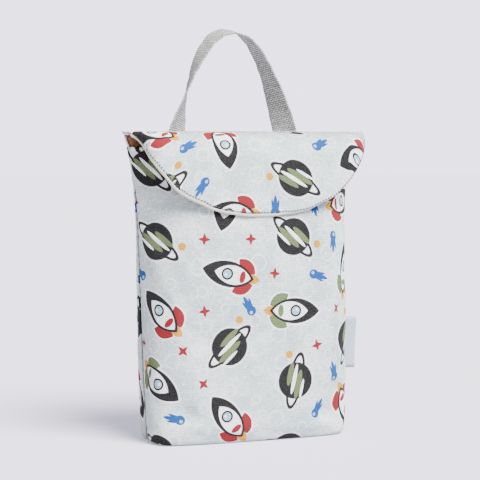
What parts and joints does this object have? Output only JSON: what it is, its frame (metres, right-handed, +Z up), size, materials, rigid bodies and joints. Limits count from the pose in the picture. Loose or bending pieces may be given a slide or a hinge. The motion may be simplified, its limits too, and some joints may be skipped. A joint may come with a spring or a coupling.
{
  "type": "diaper storage bag",
  "caption": "Upright soft cloth storage bag with a flat base, a curved flap over its mouth, a webbing carry loop on the back and a blank label in the side seam.",
  "frame": {"origin": "on the underside of the base, half way between the side seams, where the bag stands on a surface", "axes": "+Z up, -Y to the front where the flap hangs, +X to the side whose seam holds the label"},
  "size_m": [0.2566, 0.1003, 0.4084],
  "materials": {
    "printed_cloth": "woven, matte, printed with small motifs on a pale grey-mint ground",
    "lining_cloth": "plain tan lining, matte",
    "webbing": "coarse woven grey webbing",
    "label_tape": "smooth satin tape, blank"
  },
  "bodies": {
    "root": {"front_panel": "printed_cloth", "back_panel": "printed_cloth", "flap": "printed_cloth", "front_lining": "lining_cloth", "back_lining": "lining_cloth", "handle": "webbing", "side_label": "label_tape"}
  },
  "joints": []
}
